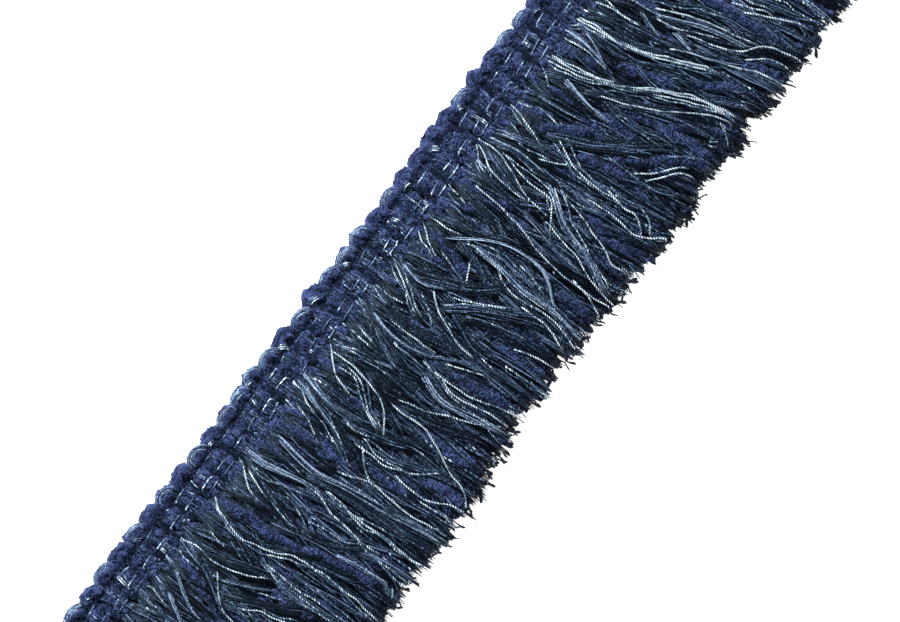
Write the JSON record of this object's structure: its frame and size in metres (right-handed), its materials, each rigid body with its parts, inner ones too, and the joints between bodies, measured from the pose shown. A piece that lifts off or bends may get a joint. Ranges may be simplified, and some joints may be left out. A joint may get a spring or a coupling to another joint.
{
  "type": "brush fringe trim",
  "caption": "Straight cut length of brush fringe trim: a narrow woven heading with a looped upper edge and chain stitching, and a thick skirt of loose cut yarns, laid flat.",
  "frame": {"origin": "on the surface the trim lies on, under the middle of its length and width", "axes": "+X along the trim, +Y across it towards the looped edge, +Z out of its face"},
  "size_m": [0.3384, 0.076, 0.0068],
  "materials": {
    "heading_weave": "matt looped and chain-stitched yarn, dark navy with steel-blue stitches",
    "navy_yarn": "fine soft spun filaments, very dark navy",
    "chenille": "matt chenille pile, royal blue",
    "light_yarn": "silky twisted two-ply yarn, light steel blue"
  },
  "bodies": {
    "root": {"heading": "heading_weave", "skirt_navy_back": "navy_yarn", "skirt_chenille_back": "chenille", "skirt_navy_front": "navy_yarn", "skirt_chenille_front": "chenille", "skirt_light_front": "light_yarn"}
  },
  "joints": []
}
